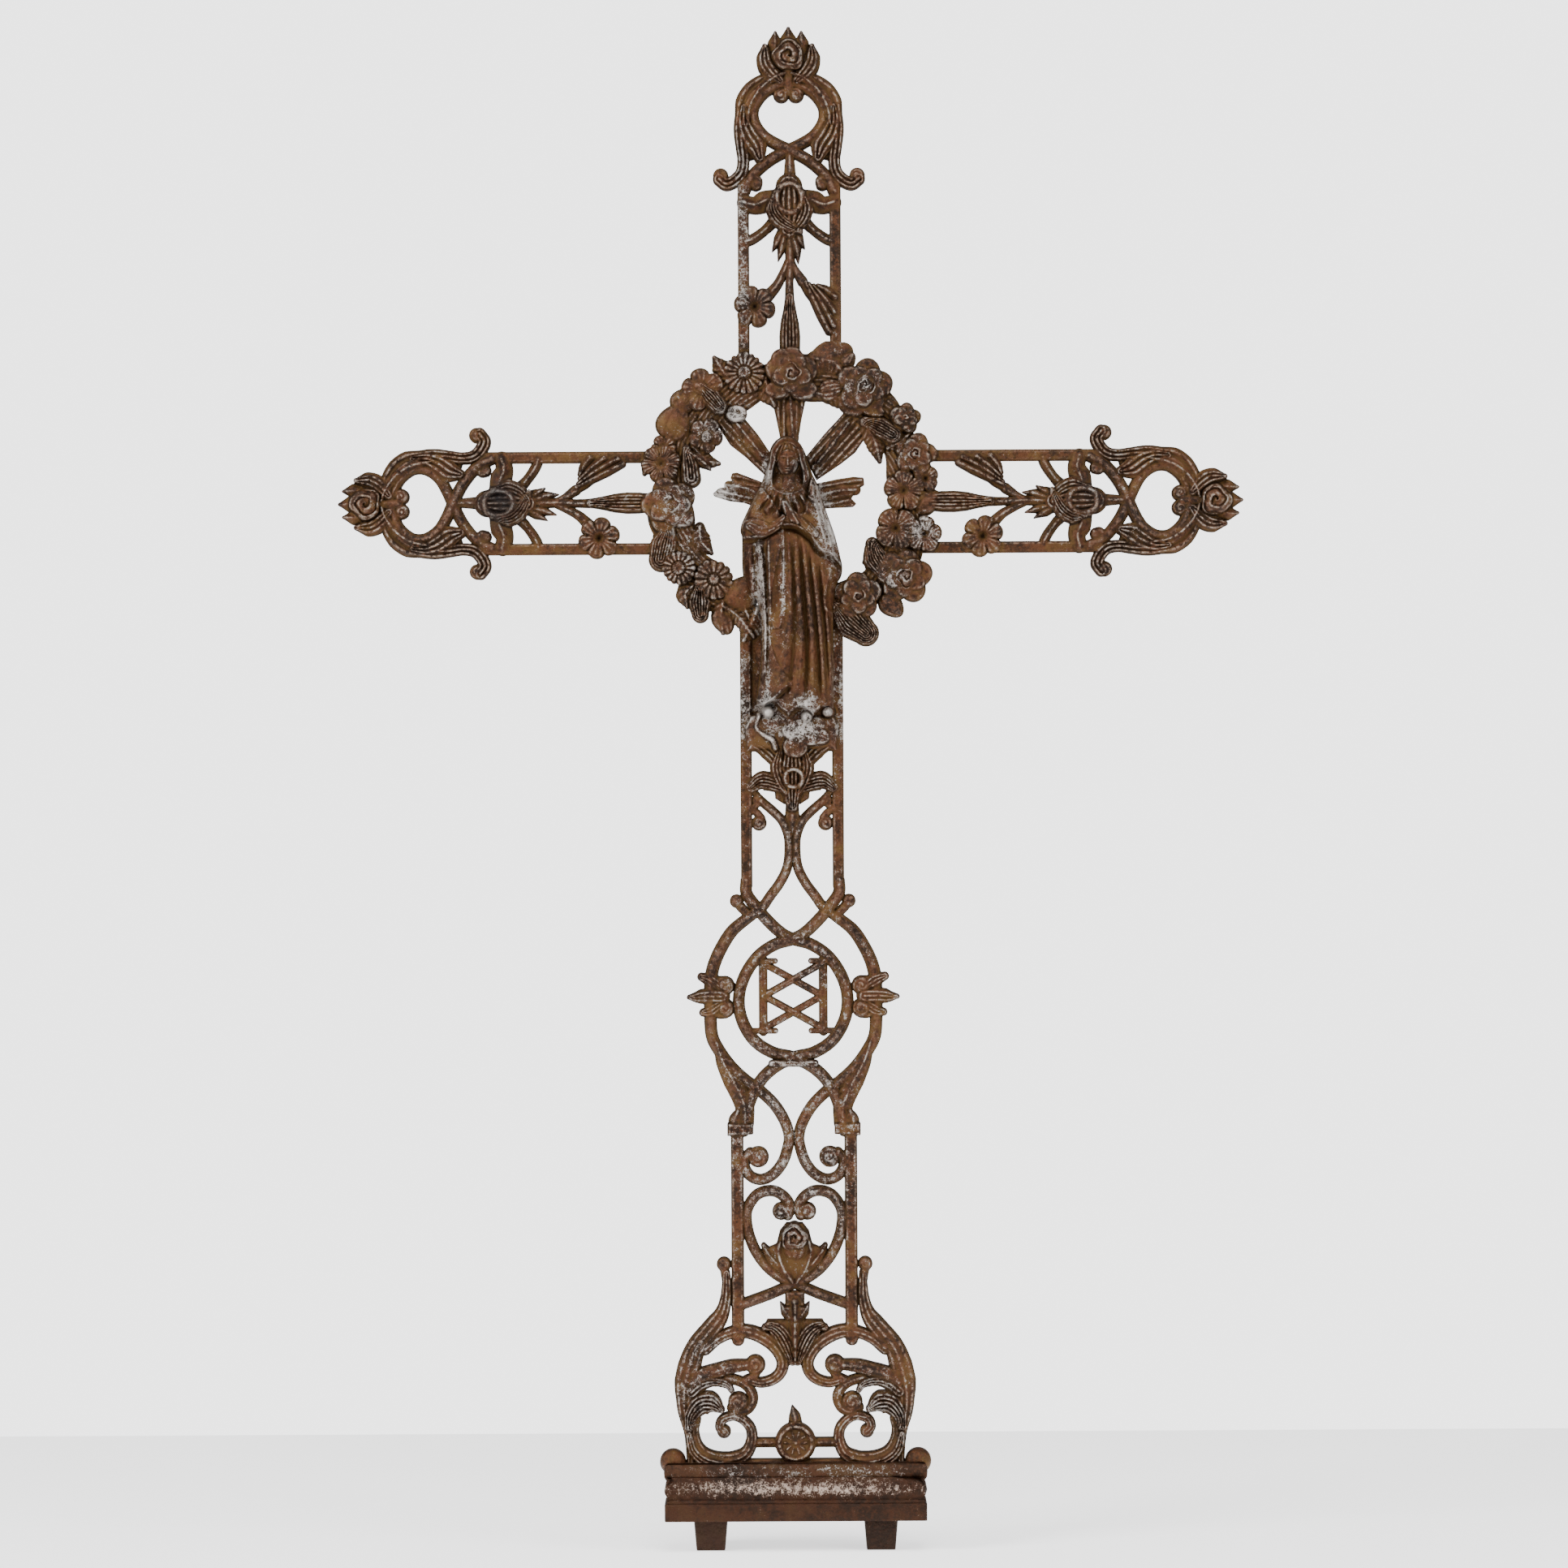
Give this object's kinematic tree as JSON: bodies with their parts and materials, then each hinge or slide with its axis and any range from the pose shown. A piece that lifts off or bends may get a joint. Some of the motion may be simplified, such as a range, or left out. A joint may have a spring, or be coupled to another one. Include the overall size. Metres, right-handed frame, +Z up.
{
  "type": "cast iron grave cross",
  "caption": "Openwork cast iron grave cross with scrolls, a flower wreath, a standing praying figure, a moulded plinth and lugs below it.",
  "frame": {"origin": "middle of the plinth's underside, where it beds on its stone; the two lugs reach below it into the stone", "axes": "+Z up the cross, -Y out of its front, +X to the right as seen from the front"},
  "size_m": [0.8284, 0.065, 1.4015],
  "materials": {
    "iron": "rusted, with worn silver grey paint"
  },
  "bodies": {
    "root": {"cross": "iron"}
  },
  "joints": []
}
